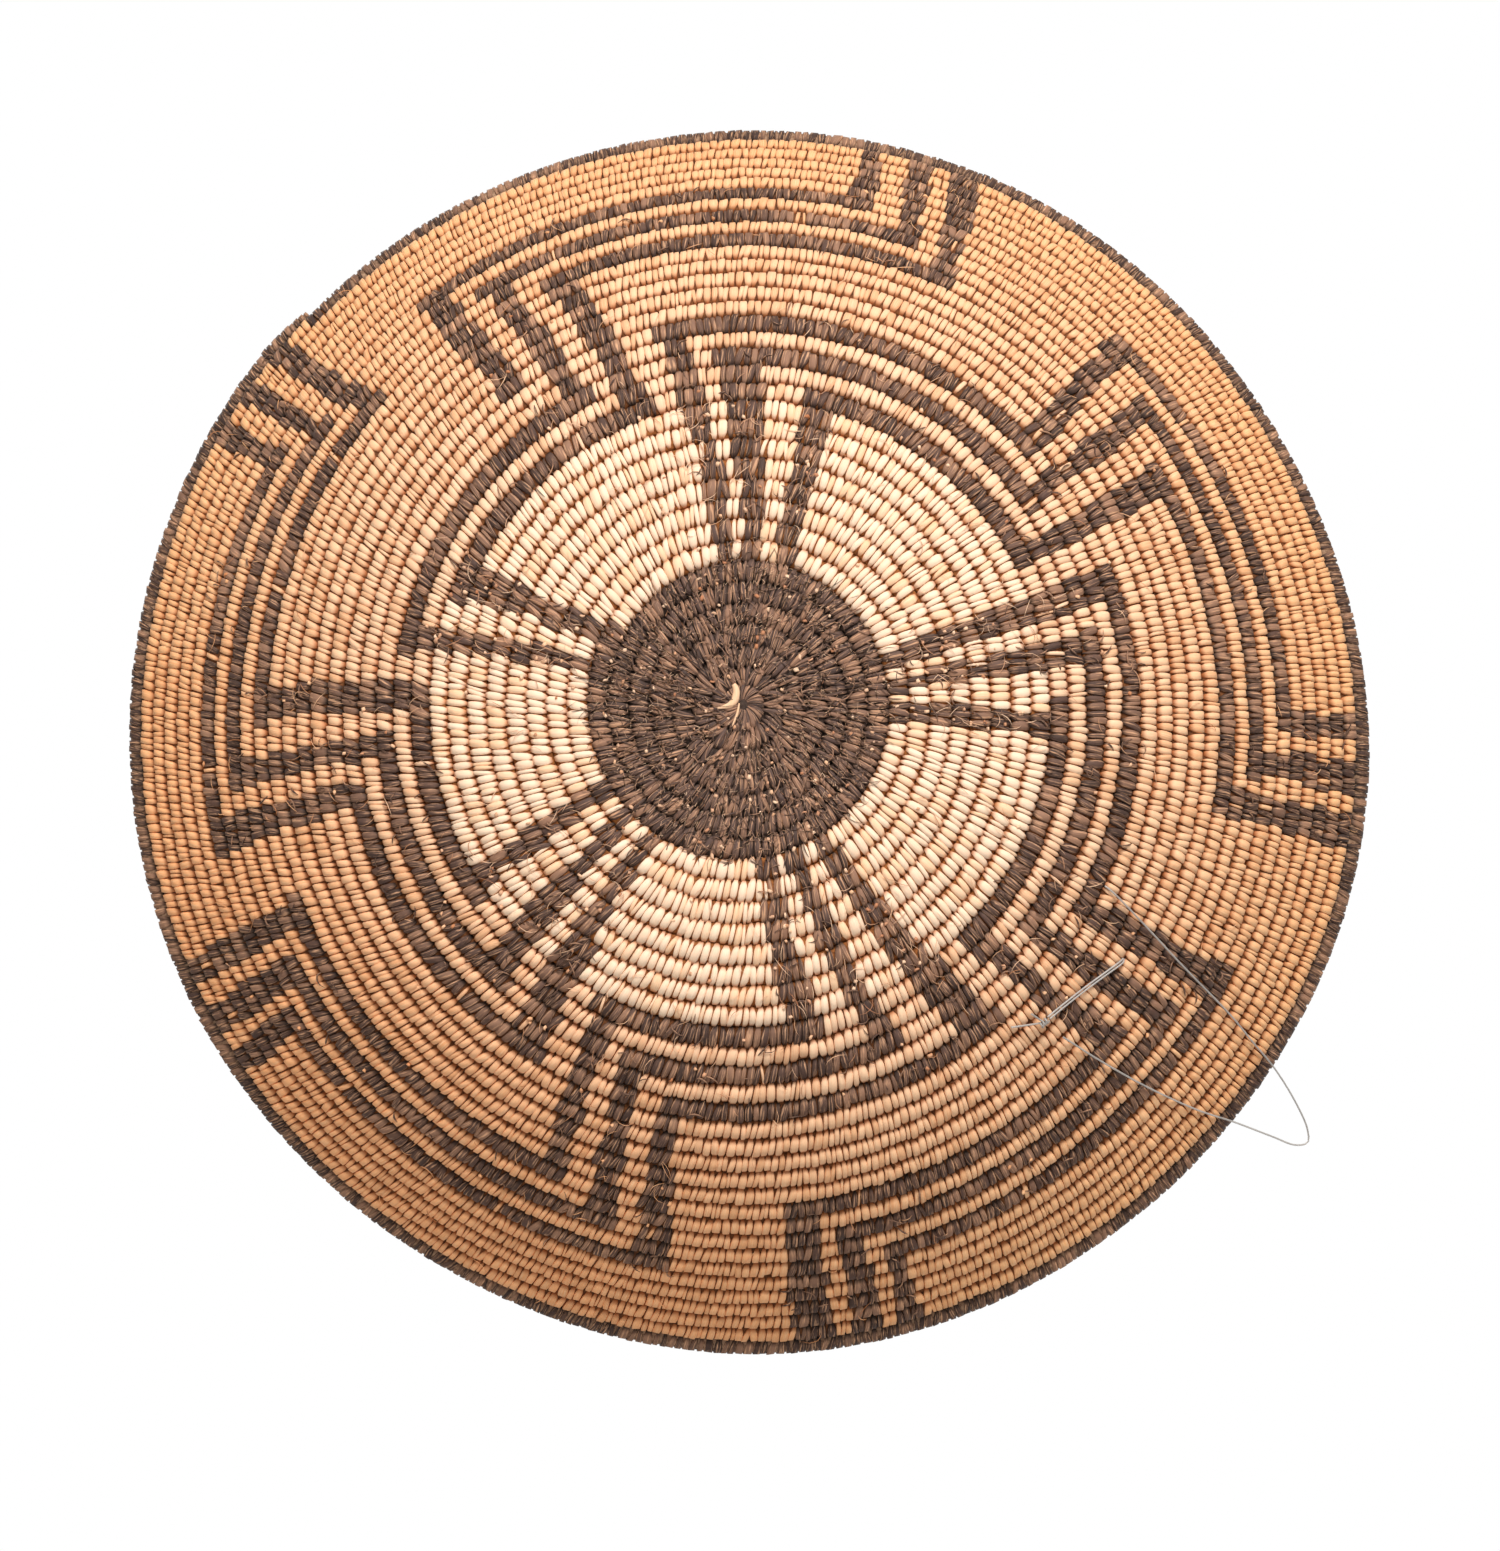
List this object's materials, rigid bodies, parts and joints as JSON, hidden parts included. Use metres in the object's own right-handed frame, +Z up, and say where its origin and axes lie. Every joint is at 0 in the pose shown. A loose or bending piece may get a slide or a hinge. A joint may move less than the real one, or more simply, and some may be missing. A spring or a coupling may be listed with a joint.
{
  "type": "coiled basket bowl",
  "caption": "Shallow round coiled basket bowl with a dark rim, a stepped whirlwind fret pattern, a dark base disc and a clear nylon hanging loop.",
  "frame": {"origin": "middle of the bowl's footprint, on the surface it stands on", "axes": "+Z up, out of the bowl's mouth; -Y towards the top of the picture and +X to its right"},
  "size_m": [0.3592, 0.3558, 0.1025],
  "materials": {
    "pale_splint": "pale cream willow splints, matt with a faint dry sheen",
    "tan_splint": "warm tan splints, matt, orange brown in the grooves",
    "dark_splint": "dark brown splints, fibrous and matt",
    "nylon_line": "clear nylon monofilament"
  },
  "bodies": {
    "root": {"start_knot": "dark_splint", "base_coil": "dark_splint", "field_coil": "pale_splint", "lower_wall_coil": "tan_splint", "upper_wall_coil": "tan_splint", "rim_coil": "dark_splint", "hanging_loop": "nylon_line", "anchor_strand_1": "nylon_line", "anchor_strand_2": "nylon_line", "loop_knot": "nylon_line"}
  },
  "joints": []
}
